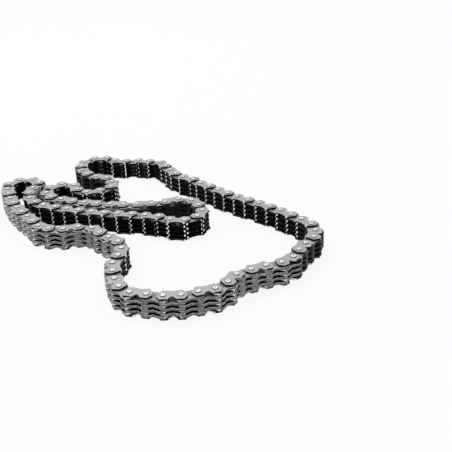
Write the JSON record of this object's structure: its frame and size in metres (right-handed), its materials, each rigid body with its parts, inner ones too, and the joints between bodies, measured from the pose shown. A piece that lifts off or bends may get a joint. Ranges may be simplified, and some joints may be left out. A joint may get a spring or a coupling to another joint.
{
  "type": "silent chain",
  "caption": "Endless inverted-tooth chain laid on its side in a folded loop: toothed plates laced on riveted pins, with outer guide plates, to carry a drive between sprockets.",
  "frame": {"origin": "middle of the loop's bounding box, on the surface that the lower pin heads stand on", "axes": "+Z along the pins, up off the surface; +X to the right and +Y away, as the loop lies in its picture"},
  "size_m": [0.1494, 0.1533, 0.0095],
  "materials": {
    "guide_steel": "satin, as blanked",
    "plate_steel": "satin, oiled",
    "pin_steel": "bright, riveted heads"
  },
  "bodies": {
    "fixed_loop": {"back_bend_run": "guide_steel", "back_fold_run": "guide_steel", "inner_bend_run": "guide_steel", "inner_strand_far_run": "guide_steel", "inner_fold_run": "guide_steel", "inner_strand_near_run": "guide_steel", "inner_corner_run": "guide_steel", "left_bend_run": "guide_steel", "left_strand_run": "guide_steel", "left_corner_run": "guide_steel"},
    "row_108": {"link_108_plate_1": "plate_steel", "link_108_plate_2": "plate_steel", "link_108_plate_3": "plate_steel", "link_108_plate_4": "plate_steel"},
    "row_109": {"guide_link_109": "guide_steel"},
    "row_110": {"link_110_plate_1": "plate_steel", "link_110_plate_2": "plate_steel", "link_110_plate_3": "plate_steel", "link_110_plate_4": "plate_steel"},
    "row_111": {"guide_link_111": "guide_steel"},
    "row_112": {"link_112_plate_1": "plate_steel", "link_112_plate_2": "plate_steel", "link_112_plate_3": "plate_steel", "link_112_plate_4": "plate_steel"},
    "row_1": {"guide_link_1": "guide_steel"},
    "row_2": {"link_2_plate_1": "plate_steel", "link_2_plate_2": "plate_steel", "link_2_plate_3": "plate_steel", "link_2_plate_4": "plate_steel"},
    "row_3": {"guide_plate_bottom": "guide_steel", "inner_plate_1": "plate_steel", "inner_plate_2": "plate_steel", "inner_plate_3": "plate_steel", "guide_plate_top": "guide_steel", "pin_left": "pin_steel", "pin_right": "pin_steel"},
    "row_4": {"link_4_plate_1": "plate_steel", "link_4_plate_2": "plate_steel", "link_4_plate_3": "plate_steel", "link_4_plate_4": "plate_steel"},
    "row_5": {"guide_link_5": "guide_steel"},
    "row_6": {"link_6_plate_1": "plate_steel", "link_6_plate_2": "plate_steel", "link_6_plate_3": "plate_steel", "link_6_plate_4": "plate_steel"},
    "row_37": {"guide_link_37": "guide_steel"},
    "row_36": {"link_36_plate_1": "plate_steel", "link_36_plate_2": "plate_steel", "link_36_plate_3": "plate_steel", "link_36_plate_4": "plate_steel"},
    "row_35": {"guide_link_35": "guide_steel"},
    "row_27": {"guide_link_27": "guide_steel"},
    "row_23": {"guide_link_23": "guide_steel"},
    "far_strand_long": {"far_strand_long_run": "guide_steel"},
    "far_strand_short": {"far_strand_short_run": "guide_steel"},
    "right_bend": {"right_bend_near_run": "guide_steel", "right_bend_far_run": "guide_steel"}
  },
  "joints": [
    {"name": "pin_108", "type": "hinge", "parent": "fixed_loop", "child": "row_108", "pos_m": [-0.00831, -0.04034, 0], "axis": [0, 0, 1], "range_deg": [-8, 8]},
    {"name": "pin_109", "type": "hinge", "parent": "row_108", "child": "row_109", "pos_m": [-0.00977, -0.04652, 0], "axis": [0, 0, 1], "range_deg": [-8, 8]},
    {"name": "pin_110", "type": "hinge", "parent": "row_109", "child": "row_110", "pos_m": [-0.00895, -0.05282, 0], "axis": [0, 0, 1], "range_deg": [-8, 8]},
    {"name": "pin_111", "type": "hinge", "parent": "row_110", "child": "row_111", "pos_m": [-0.00751, -0.059, 0], "axis": [0, 0, 1], "range_deg": [-8, 8]},
    {"name": "pin_112", "type": "hinge", "parent": "row_111", "child": "row_112", "pos_m": [-0.00524, -0.06493, 0], "axis": [0, 0, 1], "range_deg": [-8, 8]},
    {"name": "pin_1", "type": "hinge", "parent": "row_112", "child": "row_1", "pos_m": [-0.00093, -0.0696, 0], "axis": [0, 0, 1], "range_deg": [-8, 8]},
    {"name": "pin_2", "type": "hinge", "parent": "row_1", "child": "row_2", "pos_m": [0.00516, -0.07141, 0], "axis": [0, 0, 1], "range_deg": [-8, 8]},
    {"name": "pin_3", "type": "hinge", "parent": "row_2", "child": "row_3", "pos_m": [0.01129, -0.07305, 0], "axis": [0, 0, 1], "range_deg": [-8, 8]},
    {"name": "pin_4", "type": "hinge", "parent": "row_3", "child": "row_4", "pos_m": [0.01764, -0.07307, 0], "axis": [0, 0, 1], "range_deg": [-8, 8]},
    {"name": "pin_5", "type": "hinge", "parent": "row_4", "child": "row_5", "pos_m": [0.02372, -0.07124, 0], "axis": [0, 0, 1], "range_deg": [-8, 8]},
    {"name": "pin_6", "type": "hinge", "parent": "row_5", "child": "row_6", "pos_m": [0.02984, -0.06955, 0], "axis": [0, 0, 1], "range_deg": [-8, 8]},
    {"name": "pin_38", "type": "hinge", "parent": "fixed_loop", "child": "row_37", "pos_m": [-0.02243, 0.06885, 0], "axis": [0, 0, 1], "range_deg": [-8, 8]},
    {"name": "pin_37", "type": "hinge", "parent": "row_37", "child": "row_36", "pos_m": [-0.0163, 0.0672, 0], "axis": [0, 0, 1], "range_deg": [-8, 8]},
    {"name": "pin_36", "type": "hinge", "parent": "row_36", "child": "row_35", "pos_m": [-0.00995, 0.06728, 0], "axis": [0, 0, 1], "range_deg": [-8, 8]},
    {"name": "pin_35", "type": "hinge", "parent": "row_35", "child": "far_strand_long", "pos_m": [-0.00387, 0.06544, 0], "axis": [0, 0, 1], "range_deg": [-8, 8]},
    {"name": "pin_28", "type": "hinge", "parent": "far_strand_long", "child": "row_27", "pos_m": [0.02317, 0.03219, 0], "axis": [0, 0, 1], "range_deg": [-8, 8]},
    {"name": "pin_27", "type": "hinge", "parent": "row_27", "child": "far_strand_short", "pos_m": [0.02748, 0.02753, 0], "axis": [0, 0, 1], "range_deg": [-8, 8]},
    {"name": "pin_24", "type": "hinge", "parent": "far_strand_short", "child": "row_23", "pos_m": [0.0403, 0.01346, 0], "axis": [0, 0, 1], "range_deg": [-8, 8]},
    {"name": "pin_23", "type": "hinge", "parent": "row_23", "child": "right_bend", "pos_m": [0.04493, 0.0091, 0], "axis": [0, 0, 1], "range_deg": [-8, 8]}
  ],
  "couplings": [
    {"joint": "pin_23", "follows": "pin_24", "ratio": -1},
    {"joint": "pin_108", "follows": "pin_24", "ratio": 1},
    {"joint": "pin_109", "follows": "pin_24", "ratio": -1},
    {"joint": "pin_4", "follows": "pin_24", "ratio": 1},
    {"joint": "pin_5", "follows": "pin_24", "ratio": -1},
    {"joint": "pin_35", "follows": "pin_36", "ratio": -1},
    {"joint": "pin_110", "follows": "pin_36", "ratio": 1},
    {"joint": "pin_111", "follows": "pin_36", "ratio": -1},
    {"joint": "pin_6", "follows": "pin_36", "ratio": 1},
    {"joint": "pin_27", "follows": "pin_28", "ratio": -1},
    {"joint": "pin_112", "follows": "pin_28", "ratio": 1},
    {"joint": "pin_1", "follows": "pin_28", "ratio": -1},
    {"joint": "pin_37", "follows": "pin_38", "ratio": -1},
    {"joint": "pin_2", "follows": "pin_38", "ratio": 1},
    {"joint": "pin_3", "follows": "pin_38", "ratio": -1}
  ]
}
